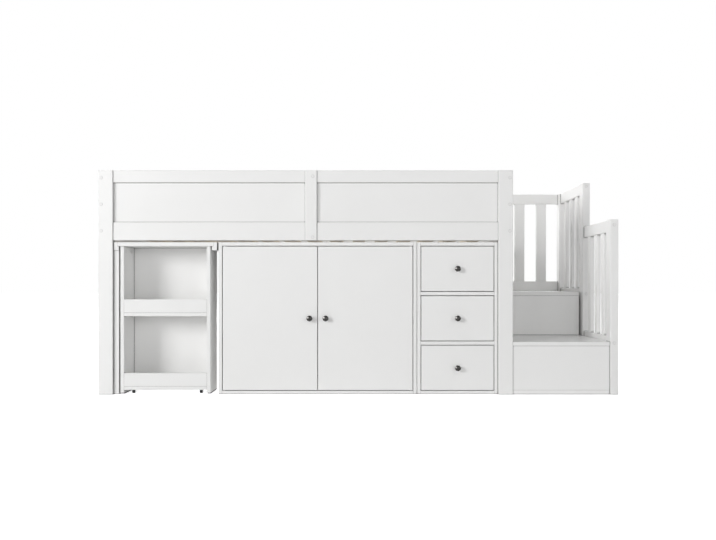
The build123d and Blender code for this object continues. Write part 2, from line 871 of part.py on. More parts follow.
treads_x = [stair_span(0, width) for width in [lower_tread_width, upper_tread_width]]
treads_z = [(top - tread_thickness, top) for top in tread_tops]
riser_fronts = [near + riser_setback for near in tread_fronts]
upper_step_back = bed_depth - upper_step_inset
treads_y = [from_front(tread_fronts[0], riser_fronts[1]), from_front(tread_fronts[1], upper_step_back)]
bases_y = [from_front(riser_fronts[0], riser_fronts[1] - step_joint), from_front(riser_fronts[1], upper_step_back)]
risers_y = [(base_y[0], base_y[0] + board) for base_y in bases_y]
step_base_z = (0, step_base_thickness)
bodies_z = [(step_base_z[1], tread_z[0]) for tread_z in treads_z]
upper_back_y = (bases_y[1][1] - board, bases_y[1][1])
cheeks_y = [(risers_y[0][1], bases_y[0][1]), (risers_y[1][1], upper_back_y[0])]

with BuildPart() as stair_treads:
    for n in range(2):
        timber("x", treads_x[n], treads_y[n], treads_z[n], board_ease)
finish(stair_treads, "stair_treads")

with BuildPart() as stair_risers:
    for n in range(2):
        timber("x", treads_x[n], risers_y[n], bodies_z[n], board_ease)
finish(stair_risers, "stair_risers")

with BuildPart() as stair_carcasses:
    for n in range(2):
        timber("x", treads_x[n], bases_y[n], step_base_z, no_ease)
        timber("z", (treads_x[n][0], treads_x[n][0] + board), cheeks_y[n], bodies_z[n], no_ease)
        timber("z", (treads_x[n][1] - board, treads_x[n][1]), cheeks_y[n], bodies_z[n], no_ease)
    timber("x", treads_x[1], upper_back_y, bodies_z[1], no_ease)
finish(stair_carcasses, "stair_carcasses")


def side_guard(n):
    """Top, middle and bottom rails of one side guard, mortised for slats and grooved for the panel below."""
    top_z, middle_z = guard_tops_z[n], guard_middles_z[n]
    panel_x = (guard_x_middle - panel_thickness / 2 - fit_gap, guard_x_middle + panel_thickness / 2 + fit_gap)
    timber("y", guard_x, guards_y[n], top_z, rail_ease)
    timber("y", guard_x, guards_y[n], middle_z, rail_ease, [(panel_x, (middle_z[0], middle_z[0] + groove_depth))])
    timber(
        "y",
        guard_x,
        guards_y[n],
        guard_feet_z,
        rail_ease,
        [(panel_x, (guard_feet_z[1] - groove_depth, guard_feet_z[1]))],
    )
    slot_x = (
        guard_x_middle - guard_slat_thickness / 2 - fit_gap,
        guard_x_middle + guard_slat_thickness / 2 + fit_gap,
    )
    for slat_y in even_spans(guards_y[n], guard_slat_count, guard_slat_width):
        slot_y = shifted(slat_y, -fit_gap, fit_gap)
        block(slot_x, slot_y, (top_z[0], top_z[0] + mortise_depth), Mode.SUBTRACT)
        block(slot_x, slot_y, (middle_z[1] - mortise_depth, middle_z[1]), Mode.SUBTRACT)


slat_seat = mortise_depth - panel_float
back_guard_middle = middle_of(back_guard_y)
back_slat_y = (
    back_guard_middle - guard_slat_thickness / 2,
    back_guard_middle + guard_slat_thickness / 2,
)
back_slats_x = even_spans(back_guard_x, guard_slat_count, back_slat_width)

with BuildPart() as stair_guard_rails:
    side_guard(0)
    side_guard(1)
    timber("x", back_guard_x, back_guard_y, back_guard_top_z, rail_ease)
    timber("x", back_guard_x, back_guard_y, back_guard_foot_z, rail_ease)
    for slat_x in back_slats_x:
        slot_x = shifted(slat_x, -fit_gap, fit_gap)
        slot_y = shifted(back_slat_y, -fit_gap, fit_gap)
        top = back_guard_top_z[0]
        foot = back_guard_foot_z[1]
        block(slot_x, slot_y, (top, top + mortise_depth), Mode.SUBTRACT)
        block(slot_x, slot_y, (foot - mortise_depth, foot), Mode.SUBTRACT)
finish(stair_guard_rails, "stair_guard_rails")

with BuildPart() as stair_guard_slats:
    side_slat_x = (guard_x_middle - guard_slat_thickness / 2, guard_x_middle + guard_slat_thickness / 2)
    for n in range(2):
        slat_z = (guard_middles_z[n][1] - mortise_depth, guard_tops_z[n][0] + slat_seat)
        for slat_y in even_spans(guards_y[n], guard_slat_count, guard_slat_width):
            timber("z", side_slat_x, slat_y, slat_z, guard_slat_ease)
    back_slat_z = (back_guard_foot_z[1] - mortise_depth, back_guard_top_z[0] + slat_seat)
    for slat_x in back_slats_x:
        timber("z", slat_x, back_slat_y, back_slat_z, guard_slat_ease)
finish(stair_guard_slats, "stair_guard_slats")

with BuildPart() as stair_side_panels:
    panel_x = (guard_x_middle - panel_thickness / 2, guard_x_middle + panel_thickness / 2)
    for n in range(2):
        opening_z = (guard_feet_z[1], guard_middles_z[n][0])
        block(panel_x, guards_y[n], shifted(opening_z, -groove_depth, panel_seat))
finish(stair_side_panels, "stair_side_panels")
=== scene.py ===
import bpy
import bmesh
import math
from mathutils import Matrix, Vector


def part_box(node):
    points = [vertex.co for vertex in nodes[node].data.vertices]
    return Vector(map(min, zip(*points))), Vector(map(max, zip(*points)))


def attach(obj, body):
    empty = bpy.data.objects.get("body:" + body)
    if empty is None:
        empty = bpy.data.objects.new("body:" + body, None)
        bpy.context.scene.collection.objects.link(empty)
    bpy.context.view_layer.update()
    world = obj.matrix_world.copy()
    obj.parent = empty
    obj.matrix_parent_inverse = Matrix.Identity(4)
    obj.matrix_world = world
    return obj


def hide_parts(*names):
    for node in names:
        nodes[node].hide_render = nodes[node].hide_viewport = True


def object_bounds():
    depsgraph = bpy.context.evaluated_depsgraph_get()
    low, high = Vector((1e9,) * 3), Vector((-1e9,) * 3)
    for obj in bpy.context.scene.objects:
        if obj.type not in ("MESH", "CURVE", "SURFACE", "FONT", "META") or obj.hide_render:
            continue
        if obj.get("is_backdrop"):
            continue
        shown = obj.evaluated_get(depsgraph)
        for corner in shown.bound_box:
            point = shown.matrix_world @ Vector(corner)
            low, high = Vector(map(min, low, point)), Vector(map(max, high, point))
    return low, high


# The looks of a cabin bed with a guard all round, a pull-out desk, a cupboard, a chest and stairs.
# Metres, +Z up, front towards -Y, floor at Z = 0.
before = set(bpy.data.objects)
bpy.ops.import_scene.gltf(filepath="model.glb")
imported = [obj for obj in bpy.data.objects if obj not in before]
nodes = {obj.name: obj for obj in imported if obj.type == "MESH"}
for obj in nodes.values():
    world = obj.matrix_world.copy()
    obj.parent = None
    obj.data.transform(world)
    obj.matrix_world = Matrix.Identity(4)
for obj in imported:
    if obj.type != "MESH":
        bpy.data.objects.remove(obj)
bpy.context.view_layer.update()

MM = 0.001
QUARTER = math.pi / 2
FULL_TURN = 6.283
OPAQUE = (1.0,)  # the fourth part of a colour


# Shared effects
def new_group(name, inputs, outputs):
    """An empty shader group with named inputs (name, kind, default) and outputs (name, kind)."""
    group = bpy.data.node_groups.new(name, "ShaderNodeTree")
    for label, kind, default in inputs:
        socket = group.interface.new_socket(label, in_out="INPUT", socket_type=kind)
        if default is not None:
            socket.default_value = default
    for label, kind in outputs:
        group.interface.new_socket(label, in_out="OUTPUT", socket_type=kind)
    return group, group.nodes.new("NodeGroupInput"), group.nodes.new("NodeGroupOutput")


def math_node(tree, operation, first, second):
    """The result of one calculation on two numbers or sockets."""
    node = tree.nodes.new("ShaderNodeMath")
    node.operation = operation
    for index, value in enumerate([first, second]):
        if isinstance(value, (int, float)):
            node.inputs[index].default_value = value
        else:
            tree.links.new(value, node.inputs[index])
    return node.outputs[0]


def fraction(tree, value):
    """What is left of a value after the decimal point."""
    node = tree.nodes.new("ShaderNodeMath")
    node.operation = "FRACT"
    tree.links.new(value, node.inputs[0])
    return node.outputs[0]


def range_node(tree, value, low, high, to_low, to_high):
    """A value carried from one range into another, and held at its ends."""
    node = tree.nodes.new("ShaderNodeMapRange")
    node.clamp = True
    entries = {"Value": value, "From Min": low, "From Max": high, "To Min": to_low, "To Max": to_high}
    for label, item in entries.items():
        if isinstance(item, (int, float)):
            node.inputs[label].default_value = item
        else:
            tree.links.new(item, node.inputs[label])
    return node.outputs["Result"]


def grain_group():
    """Long fibres: a fine height field and a broad figure, both stretched by the Stretch input."""
    warp_amount, ring_count = 0.012, 11.0
    group, start, end = new_group(
        "WoodGrain",
        [
            ("Vector", "NodeSocketVector", None),
            ("Stretch", "NodeSocketVector", (1.0, 1.0, 1.0)),
            ("Fineness", "NodeSocketFloat", 900.0),
            ("Figure scale", "NodeSocketFloat", 45.0),
        ],
        [("Fibres", "NodeSocketFloat"), ("Figure", "NodeSocketFloat")],
    )
    stretched = group.nodes.new("ShaderNodeVectorMath")
    stretched.operation = "MULTIPLY"
    group.links.new(start.outputs["Vector"], stretched.inputs[0])
    group.links.new(start.outputs["Stretch"], stretched.inputs[1])
    fibres = group.nodes.new("ShaderNodeTexNoise")
    fibres.inputs["Detail"].default_value = 3.0
    fibres.inputs["Roughness"].default_value = 0.6
    group.links.new(stretched.outputs[0], fibres.inputs["Vector"])
    group.links.new(start.outputs["Fineness"], fibres.inputs["Scale"])
    warp = group.nodes.new("ShaderNodeTexNoise")
    warp.inputs["Scale"].default_value = 6.0
    warp.inputs["Detail"].default_value = 2.0
    group.links.new(start.outputs["Vector"], warp.inputs["Vector"])
    bent = group.nodes.new("ShaderNodeVectorMath")
    bent.operation = "MULTIPLY_ADD"
    group.links.new(warp.outputs["Color"], bent.inputs[0])
    bent.inputs[1].default_value = (warp_amount, warp_amount, warp_amount)
    group.links.new(stretched.outputs[0], bent.inputs[2])
    figure = group.nodes.new("ShaderNodeTexNoise")
    figure.inputs["Detail"].default_value = 4.0
    figure.inputs["Distortion"].default_value = 0.6
    group.links.new(bent.outputs[0], figure.inputs["Vector"])
    group.links.new(start.outputs["Figure scale"], figure.inputs["Scale"])
    rings = fraction(group, math_node(group, "MULTIPLY", figure.outputs["Fac"], ring_count))
    rings = math_node(group, "PINGPONG", rings, 0.5)
    rings = math_node(group, "MULTIPLY", rings, 2.0)
    group.links.new(fibres.outputs["Fac"], end.inputs["Fibres"])
    group.links.new(rings, end.inputs["Figure"])
    return group


def edge_group():
    """A mask of worn or built-up edges, and the normal of the softened edge."""
    group, start, end = new_group(
        "SoftEdges",
        [("Radius", "NodeSocketFloat", 0.0015), ("Spread", "NodeSocketFloat", 0.35)],
        [("Mask", "NodeSocketFloat"), ("Normal", "NodeSocketVector")],
    )
    bevel = group.nodes.new("ShaderNodeBevel")
    bevel.samples = 4
    group.links.new(start.outputs["Radius"], bevel.inputs["Radius"])
    flat = group.nodes.new("ShaderNodeNewGeometry")
    likeness = group.nodes.new("ShaderNodeVectorMath")
    likeness.operation = "DOT_PRODUCT"
    group.links.new(bevel.outputs["Normal"], likeness.inputs[0])
    group.links.new(flat.outputs["Normal"], likeness.inputs[1])
    bend = math_node(group, "SUBTRACT", 1.0, likeness.outputs["Value"])
    mask = range_node(group, bend, 0.0, start.outputs["Spread"], 0.0, 1.0)
    group.links.new(mask, end.inputs["Mask"])
    group.links.new(bevel.outputs["Normal"], end.inputs["Normal"])
    return group


def crease_group():
    """A mask of inner corners and seams between parts, where the finishes paint shade and some dirt."""
    group, start, end = new_group(
        "Creases",
        [
            ("Reach", "NodeSocketFloat", 0.012),
            ("Closed", "NodeSocketFloat", 0.45),
            ("Open", "NodeSocketFloat", 0.92),
        ],
        [("Mask", "NodeSocketFloat")],
    )
    cover = group.nodes.new("ShaderNodeAmbientOcclusion")
    cover.samples = 8
    group.links.new(start.outputs["Reach"], cover.inputs["Distance"])
    closed, clear = start.outputs["Closed"], start.outputs["Open"]
    mask = range_node(group, cover.outputs["AO"], closed, clear, 1.0, 0.0)
    group.links.new(mask, end.inputs["Mask"])
    return group


def uneven_group():
    """A slow, seeded unevenness between Low and High."""
    noise_low, noise_high = 0.3, 0.7
    group, start, end = new_group(
        "Unevenness",
        [
            ("Vector", "NodeSocketVector", None),
            ("Scale", "NodeSocketFloat", 5.0),
            ("Seed", "NodeSocketFloat", 0.0),
            ("Low", "NodeSocketFloat", 0.0),
            ("High", "NodeSocketFloat", 1.0),
        ],
        [("Value", "NodeSocketFloat")],
    )
    noise = group.nodes.new("ShaderNodeTexNoise")
    noise.noise_dimensions = "4D"
    noise.inputs["Detail"].default_value = 3.0
    group.links.new(start.outputs["Vector"], noise.inputs["Vector"])
    group.links.new(start.outputs["Scale"], noise.inputs["Scale"])
    group.links.new(start.outputs["Seed"], noise.inputs["W"])
    low, high = start.outputs["Low"], start.outputs["High"]
    value = range_node(group, noise.outputs["Fac"], noise_low, noise_high, low, high)
    group.links.new(value, end.inputs["Value"])
    return group


GRAIN = grain_group()
EDGES = edge_group()
CREASES = crease_group()
UNEVEN = uneven_group()

# How much the grain is drawn out along each axis
DRAWN = 0.035
ALONG = {"x": (DRAWN, 1.0, 1.0), "y": (1.0, DRAWN, 1.0), "z": (1.0, 1.0, DRAWN)}


# Parts of a finish
def use_group(tree, group, values, links=None):
    """A shared effect in a material, with its numbers and the sockets that feed it."""
    node = tree.nodes.new("ShaderNodeGroup")
    node.node_tree = group
    for label, value in values.items():
        node.inputs[label].default_value = value
    for label, socket in (links or {}).items():
        tree.links.new(socket, node.inputs[label])
    return node


def uneven(tree, where, scale, seed, low=0.0, high=1.0):
    values = {"Scale": scale, "Seed": seed, "Low": low, "High": high}
    return use_group(tree, UNEVEN, values, {"Vector": where}).outputs["Value"]


def corner_shade_mask(tree, reach, closed=0.45, clear=0.92):
    """Where other surfaces come within the reach, in mm: full at closed, none at clear."""
    values = {"Reach": reach * MM, "Closed": closed, "Open": clear}
    return use_group(tree, CREASES, values).outputs["Mask"]


def fine_noise(tree, where, scale):
    noise = tree.nodes.new("ShaderNodeTexNoise")
    noise.inputs["Scale"].default_value = scale
    tree.links.new(where, noise.inputs["Vector"])
    return noise.outputs["Fac"]


def new_material(name):
    material = bpy.data.materials.new(name)
    material.use_nodes = True
    tree = material.node_tree
    shader = next(n for n in tree.nodes if n.type == "BSDF_PRINCIPLED")
    where = tree.nodes.new("ShaderNodeTexCoord")
    return material, tree, shader, where.outputs["Object"]


def toned(colour, red, green, blue):
    """An opaque colour from another one, each of its three parts scaled."""
    return (colour[0] * red, colour[1] * green, colour[2] * blue, 1.0)


def mixed(tree, factor, first, second):
    """Two colours mixed by a factor. Inputs 6 and 7 and output 2 of the node are its colours."""
    node = tree.nodes.new("ShaderNodeMix")
    node.data_type = "RGBA"
    for key, item in [("Factor", factor), (6, first), (7, second)]:
        if isinstance(item, (int, float, tuple)):
            node.inputs[key].default_value = item
        else:
            tree.links.new(item, node.inputs[key])
    return node.outputs[2]


def laid_over(tree, base, mask, share, colour):
    """The base with a colour laid over it where the mask is, by the share at most."""
    return mixed(tree, math_node(tree, "MULTIPLY", mask, share), base, colour)


def coloured(tree, shader, base, roughness):
    tree.links.new(base, shader.inputs["Base Color"])
    tree.links.new(roughness, shader.inputs["Roughness"])


def bumped(tree, shader, height, normal, strength, distance):
    bump = tree.nodes.new("ShaderNodeBump")
    bump.inputs["Strength"].default_value = strength
    bump.inputs["Distance"].default_value = distance
    tree.links.new(height, bump.inputs["Height"])
    if normal is not None:
        tree.links.new(normal, bump.inputs["Normal"])
    tree.links.new(bump.outputs["Normal"], shader.inputs["Normal"])


# Finishes
def painted(name, colour, along, grain, roughness, seed, hollow=0.0, joints=7.0):
    """Satin paint over wood: fibres show faintly, edges are a little thinner, and seams and inner corners
    are darkened with painted shade. Joints is how far that painted shade reaches, in mm. Hollow is how much
    painted shade darkens narrow hollows near the floor."""
    shade = toned(colour, 0.98, 0.98, 0.98)
    warm = toned(colour, 0.97, 0.96, 0.94)
    joint_shade = toned(colour, 0.22, 0.217, 0.214)
    hollow_shade = (0.030, 0.030, 0.030, 1.0)
    hollow_top, hollow_end, hollow_reach = 16.0 * MM, 45.0 * MM, 45.0
    material, tree, shader, where = new_material(name)
    wood = use_group(tree, GRAIN, {"Stretch": ALONG[along]}, {"Vector": where})
    edge = use_group(tree, EDGES, {"Radius": 1.6 * MM})
    fibres, softened = wood.outputs["Fibres"], edge.outputs["Normal"]
    slow = uneven(tree, where, scale=3.5, seed=seed)
    gloss = uneven(tree, where, scale=22.0, seed=seed + 4.0, low=roughness - 0.05, high=roughness + 0.06)
    base = mixed(tree, slow, colour + OPAQUE, shade)
    base = laid_over(tree, base, wood.outputs["Figure"], 0.05 * grain, warm)
    base = laid_over(tree, base, edge.outputs["Mask"], 0.4, warm)
    # Painted shade: seams and inner corners darkened almost to black, where shade falls
    base = laid_over(tree, base, corner_shade_mask(tree, joints, clear=0.90), 0.9, joint_shade)
    # Painted shade: narrow hollows near the floor darkened, under the boards where shade falls
    if hollow > 0:
        place = tree.nodes.new("ShaderNodeSeparateXYZ")
        tree.links.new(where, place.inputs[0])
        low_down = range_node(tree, place.outputs["Z"], hollow_top, hollow_end, hollow, 0.0)
        deep = corner_shade_mask(tree, hollow_reach, closed=0.1, clear=0.48)
        base = laid_over(tree, base, deep, low_down, hollow_shade)
    coloured(tree, shader, base, gloss)
    bumped(tree, shader, fibres, softened, strength=0.22 * grain, distance=0.25 * MM)
    return material


def bare_pine(name, along, seed):
    """Planed softwood with growth figure, a few knots and a dry surface."""
    early_wood, late_wood = (0.830, 0.755, 0.640, 1.0), (0.730, 0.620, 0.485, 1.0)
    tan, dust_and_shade = (0.780, 0.680, 0.545, 1.0), (0.420, 0.320, 0.230, 1.0)
    knot = (0.400, 0.265, 0.165, 1.0)
    knot_core, knot_rim, knot_depth = 0.035, 0.09, 0.75
    material, tree, shader, where = new_material(name)
    wood = use_group(tree, GRAIN, {"Stretch": ALONG[along], "Figure scale": 22.0}, {"Vector": where})
    edge = use_group(tree, EDGES, {"Radius": 1.2 * MM})
    fibres, softened = wood.outputs["Fibres"], edge.outputs["Normal"]
    slow = uneven(tree, where, scale=9.0, seed=seed)
    dryness = uneven(tree, where, scale=40.0, seed=seed + 2.0, low=0.55, high=0.72)
    knots = tree.nodes.new("ShaderNodeTexVoronoi")
    knots.inputs["Scale"].default_value = 5.5
    tree.links.new(where, knots.inputs["Vector"])
    spot = range_node(tree, knots.outputs["Distance"], knot_core, knot_rim, knot_depth, 0.0)
    base = laid_over(tree, early_wood, wood.outputs["Figure"], 0.55, late_wood)
    base = laid_over(tree, base, slow, 0.35, tan)
    base = mixed(tree, spot, base, knot)
    # Painted shade with some dirt: inner corners and seams of the pine darkened
    base = laid_over(tree, base, corner_shade_mask(tree, 8.0), 0.35, dust_and_shade)
    coloured(tree, shader, base, dryness)
    bumped(tree, shader, fibres, softened, strength=0.45, distance=0.3 * MM)
    return material


def polished_pewter(name):
    """Dark polished pewter: brighter on rubbed edges, slightly clouded, darkened in the turnings with dirt
    and painted shade.
    """
    dark, pale = (0.036, 0.035, 0.034, 1.0), (0.052, 0.051, 0.049, 1.0)
    rubbed, dust_and_shade = (0.160, 0.155, 0.150, 1.0), (0.030, 0.029, 0.028, 1.0)
    material, tree, shader, where = new_material(name)
    edge = use_group(tree, EDGES, {"Radius": 1.0 * MM, "Spread": 0.25})
    clouds = uneven(tree, where, scale=90.0, seed=3.0)
    polish = uneven(tree, where, scale=160.0, seed=5.0, low=0.24, high=0.30)
    base = mixed(tree, clouds, dark, pale)
    base = laid_over(tree, base, edge.outputs["Mask"], 0.2, rubbed)
    # Painted shade with some dirt: the turnings darkened where shade falls
    base = laid_over(tree, base, corner_shade_mask(tree, 6.0), 0.7, dust_and_shade)
    coloured(tree, shader, base, polish)
    shader.inputs["Metallic"].default_value = 1.0
    bumped(tree, shader, fine_noise(tree, where, 900.0), None, strength=0.05, distance=0.1 * MM)
    return material


def plated_steel(name):
    """Zinc-plated steel with fine drawing lines along Y."""
    dark, pale = (0.56, 0.57, 0.58, 1.0), (0.68, 0.68, 0.67, 1.0)
    material, tree, shader, where = new_material(name)
    drawn = use_group(tree, GRAIN, {"Stretch": ALONG["y"], "Fineness": 2200.0}, {"Vector": where})
    edge = use_group(tree, EDGES, {"Radius": 0.5 * MM})
    lines, softened = drawn.outputs["Fibres"], edge.outputs["Normal"]
    polish = uneven(tree, where, scale=60.0, seed=8.0, low=0.28, high=0.42)
    coloured(tree, shader, mixed(tree, lines, dark, pale), polish)
    shader.inputs["Metallic"].default_value = 1.0
    bumped(tree, shader, lines, softened, strength=0.1, distance=0.1 * MM)
    return material


def moulded(name, colour, roughness, seed, shine=0.5):
    """Moulded plastic: even colour, slight scuffs, a fine skin and painted shade in its corners."""
    paler = tuple(min(1.0, c * 1.05 + 0.02) for c in colour) + OPAQUE
    dust_and_shade = toned(colour, 0.4, 0.4, 0.4)
    material, tree, shader, where = new_material(name)
    edge = use_group(tree, EDGES, {"Radius": 0.5 * MM})
    scuffs = uneven(tree, where, scale=120.0, seed=seed, low=0.0, high=0.35)
    gloss = uneven(tree, where, scale=200.0, seed=seed + 1.0, low=roughness - 0.06, high=roughness + 0.08)
    skin = fine_noise(tree, where, 1400.0)
    base = mixed(tree, scuffs, colour + OPAQUE, paler)
    # Painted shade with some dirt: inner corners and seams of the plastic darkened
    base = laid_over(tree, base, corner_shade_mask(tree, 5.0), 0.6, dust_and_shade)
    coloured(tree, shader, base, gloss)
    shader.inputs["Specular IOR Level"].default_value = shine
    bumped(tree, shader, skin, edge.outputs["Normal"], strength=0.12, distance=0.1 * MM)
    return material


WHITE = (0.862, 0.860, 0.852)
BACKING_WHITE = (0.870, 0.867, 0.858)
BLACK = (0.016, 0.016, 0.017)
PALE_PLASTIC = (0.800, 0.797, 0.788)
timber_look = {"grain": 1.0, "roughness": 0.40}
board_look = {"grain": 0.25, "roughness": 0.36}
timber, board, pine = {}, {}, {}
for n, along in enumerate("xyz"):
    timber[along] = painted("white_timber_" + along, WHITE, along, seed=1.0 + n, joints=8.0, **timber_look)
    board[along] = painted("white_board_" + along, WHITE, along, seed=11.0 + n, joints=10.0, **board_look)
    pine[along] = bare_pine("pine_" + along, along, seed=31.0 + n)
# Guard slats: a longer reach of painted shade, so the slat ends under the rails darken where shade falls
guard_slat_paint = painted("white_timber_slats", WHITE, "z", seed=4.0, joints=18.0, **timber_look)
# Bookcase sides: painted shade in the narrow hollows near the floor
low_board = painted("white_board_low", WHITE, "z", seed=15.0, hollow=0.95, **board_look)
backing = painted("white_backing", BACKING_WHITE, "z", grain=0.15, roughness=0.55, seed=21.0)
pewter = polished_pewter("dark_pewter")
steel = plated_steel("plated_steel")
black_plastic = moulded("black_plastic", BLACK, roughness=0.48, seed=41.0, shine=0.2)
white_plastic = moulded("white_plastic", PALE_PLASTIC, roughness=0.38, seed=51.0)

finished_nodes = [
    (timber["x"], ["front_top_rails", "front_side_rails", "rear_rails", "front_panels", "rear_panels"]),
    (timber["y"], ["head_end_frame", "head_end_panel", "foot_end_frame", "foot_end_panel"]),
    (timber["y"], ["stair_guard_rails", "stair_side_panels"]),
    (timber["z"], ["front_posts", "rear_posts", "guard_stiles", "stair_posts"]),
    (guard_slat_paint, ["stair_guard_slats"]),
    (board["x"], ["bookcase_shelves", "bookcase_lips", "cupboard_top_and_base", "cupboard_shelf"]),
    (board["x"], ["chest_boards", "stair_treads", "stair_risers"]),
    (board["y"], ["desk_runners", "desk_top", "shelf_battens", "stair_carcasses"]),
    (board["z"], ["desk_side_panel", "cupboard_sides", "chest_sides"]),
    (board["z"], ["cupboard_door_left", "cupboard_door_right"]),
    (low_board, ["bookcase_sides"]),
    (backing, ["bookcase_back", "cupboard_back", "chest_back"]),
    (pine["x"], ["slat_ledges"]),
    (pine["y"], ["bed_slats"]),
    (steel, ["door_pivot_pins", "castor_brackets", "castor_axles", "drawer_runners"]),
    (white_plastic, ["bolt_caps"]),
    (black_plastic, ["castor_wheel_left", "castor_wheel_right"]),
    (pewter, ["cupboard_knob_left", "cupboard_knob_right"]),
]
for level in ["top", "middle", "bottom"]:
    finished_nodes += [
        (board["x"], ["drawer_front_" + level]),
        (pine["y"], ["drawer_box_" + level]),
        (steel, ["drawer_slides_" + level]),
        (pewter, ["drawer_knob_" + level]),
    ]
finishes = {name: finish for finish, names in finished_nodes for name in names}

for name, node in nodes.items():
    node.data.materials.clear()
    node.data.materials.append(finishes[name])


# Turned fittings, and the grid that sets them out
def placed(name, content):
    """An object in the scene that holds a mesh, a lamp or a camera."""
    thing = bpy.data.objects.new(name, content)
    bpy.context.scene.collection.objects.link(thing)
    return thing


def ring_faces(rings, sides, closed=False):
    """The faces between rings of points that follow one another. Closed joins the last to the first."""
    faces = []
    for ring in range(rings if closed else rings - 1):
        here, there = ring * sides, (ring + 1) % rings * sides
        for n in range(sides):
            after = (n + 1) % sides
            faces.append((here + n, here + after, there + after, there + n))
    return faces


def turned(name, profile, sides, bored=False):
    """A fitting turned about Z from (radius, height) points in mm. A bored one is a closed ring."""
    points = []
    for radius, height in profile:
        for n in range(sides):
            angle = 2 * math.pi * n / sides
            points.append((radius * MM * math.cos(angle), radius * MM * math.sin(angle), height * MM))
    rings = len(profile)
    faces = ring_faces(rings, sides, closed=bored)
    if not bored:
        foot, crown = len(points), len(points) + 1
        points += [(0.0, 0.0, profile[0][1] * MM), (0.0, 0.0, profile[-1][1] * MM)]
        top = (rings - 1) * sides
        for n in range(sides):
            after = (n + 1) % sides
            faces.append((foot, after, n))
            faces.append((crown, top + n, top + after))
    mesh = bpy.data.meshes.new(name)
    mesh.from_pydata(points, [], faces)
    mesh.shade_smooth()
    mesh.set_sharp_from_angle(angle=math.radians(35))
    return placed(name, mesh)


def grid_tree():
    """Copies of one fitting on a grid of points, each turned by its own random angle about its axis."""
    tree = bpy.data.node_groups.new("FittingGrid", "GeometryNodeTree")
    for label, kind in [
        ("Geometry", "NodeSocketGeometry"),
        ("Fitting", "NodeSocketObject"),
        ("Start", "NodeSocketVector"),
        ("Step", "NodeSocketVector"),
        ("Count", "NodeSocketInt"),
        ("Row step", "NodeSocketVector"),
        ("Rows", "NodeSocketInt"),
        ("Tilt", "NodeSocketVector"),
        ("Seed", "NodeSocketInt"),
        ("Finish", "NodeSocketMaterial"),
    ]:
        tree.interface.new_socket(label, in_out="INPUT", socket_type=kind)
    tree.interface.new_socket("Geometry", in_out="OUTPUT", socket_type="NodeSocketGeometry")
    start, end = tree.nodes.new("NodeGroupInput"), tree.nodes.new("NodeGroupOutput")
    line = tree.nodes.new("GeometryNodeMeshLine")
    tree.links.new(start.outputs["Count"], line.inputs["Count"])
    tree.links.new(start.outputs["Start"], line.inputs["Start Location"])
    tree.links.new(start.outputs["Step"], line.inputs["Offset"])
    rows = tree.nodes.new("GeometryNodeMeshLine")
    tree.links.new(start.outputs["Rows"], rows.inputs["Count"])
    tree.links.new(start.outputs["Row step"], rows.inputs["Offset"])
    grid = tree.nodes.new("GeometryNodeInstanceOnPoints")
    tree.links.new(rows.outputs["Mesh"], grid.inputs["Points"])
    tree.links.new(line.outputs["Mesh"], grid.inputs["Instance"])
    points = tree.nodes.new("GeometryNodeRealizeInstances")
    tree.links.new(grid.outputs["Instances"], points.inputs["Geometry"])
    fitting = tree.nodes.new("GeometryNodeObjectInfo")
    tree.links.new(start.outputs["Fitting"], fitting.inputs["Object"])
    turn = tree.nodes.new("FunctionNodeRandomValue")
    turn.data_type = "FLOAT"
    turn.inputs[3].default_value = FULL_TURN
    tree.links.new(start.outputs["Seed"], turn.inputs["Seed"])
    spin = tree.nodes.new("ShaderNodeCombineXYZ")
    tree.links.new(turn.outputs[1], spin.inputs["Z"])
    place = tree.nodes.new("GeometryNodeInstanceOnPoints")
    tree.links.new(points.outputs["Geometry"], place.inputs["Points"])
    tree.links.new(fitting.outputs["Geometry"], place.inputs["Instance"])
    tree.links.new(start.outputs["Tilt"], place.inputs["Rotation"])
    spun = tree.nodes.new("GeometryNodeRotateInstances")
    tree.links.new(place.outputs["Instances"], spun.inputs["Instances"])
    tree.links.new(spin.outputs["Vector"], spun.inputs["Rotation"])
    real = tree.nodes.new("GeometryNodeRealizeInstances")
    tree.links.new(spun.outputs["Instances"], real.inputs["Geometry"])
    coat = tree.nodes.new("GeometryNodeSetMaterial")
    tree.links.new(real.outputs["Geometry"], coat.inputs["Geometry"])
    tree.links.new(start.outputs["Finish"], coat.inputs["Material"])
    tree.links.new(coat.outputs["Geometry"], end.inputs["Geometry"])
    return tree


GRID = grid_tree()
NO_STEP = (0.0, 0.0, 0.0)
FACING_UP = (0.0, 0.0, 0.0)
FACING_DOWN = (math.pi, 0.0, 0.0)
FACING_FRONT = (QUARTER, 0.0, 0.0)
FACING_BACK = (-QUARTER, 0.0, 0.0)
FACING_LEFT = (0.0, -QUARTER, 0.0)
FACING_RIGHT = (0.0, QUARTER, 0.0)


def fitted(
    name, body, finish, fitting, start, tilt, step=NO_STEP, count=1, row_step=NO_STEP, rows=1, seed=1
):
    """Runs the grid tree, keeps its result as a plain mesh and hands it to a body."""
    values = {
        "Fitting": fitting, "Start": start, "Step": step, "Count": count, "Row step": row_step, "Rows": rows,
        "Tilt": tilt, "Seed": seed, "Finish": finish,
    }
    piece = placed(name, bpy.data.meshes.new(name))
    modifier = piece.modifiers.new("grid", "NODES")
    modifier.node_group = GRID
    for item in GRID.interface.items_tree:
        if item.in_out == "INPUT" and item.name in values:
            modifier[item.identifier] = values[item.name]
    bpy.context.view_layer.update()
    graph = bpy.context.evaluated_depsgraph_get()
    made = bpy.data.meshes.new_from_object(piece.evaluated_get(graph), depsgraph=graph)
    piece.modifiers.clear()
    piece.data = made
    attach(piece, body)
    return piece


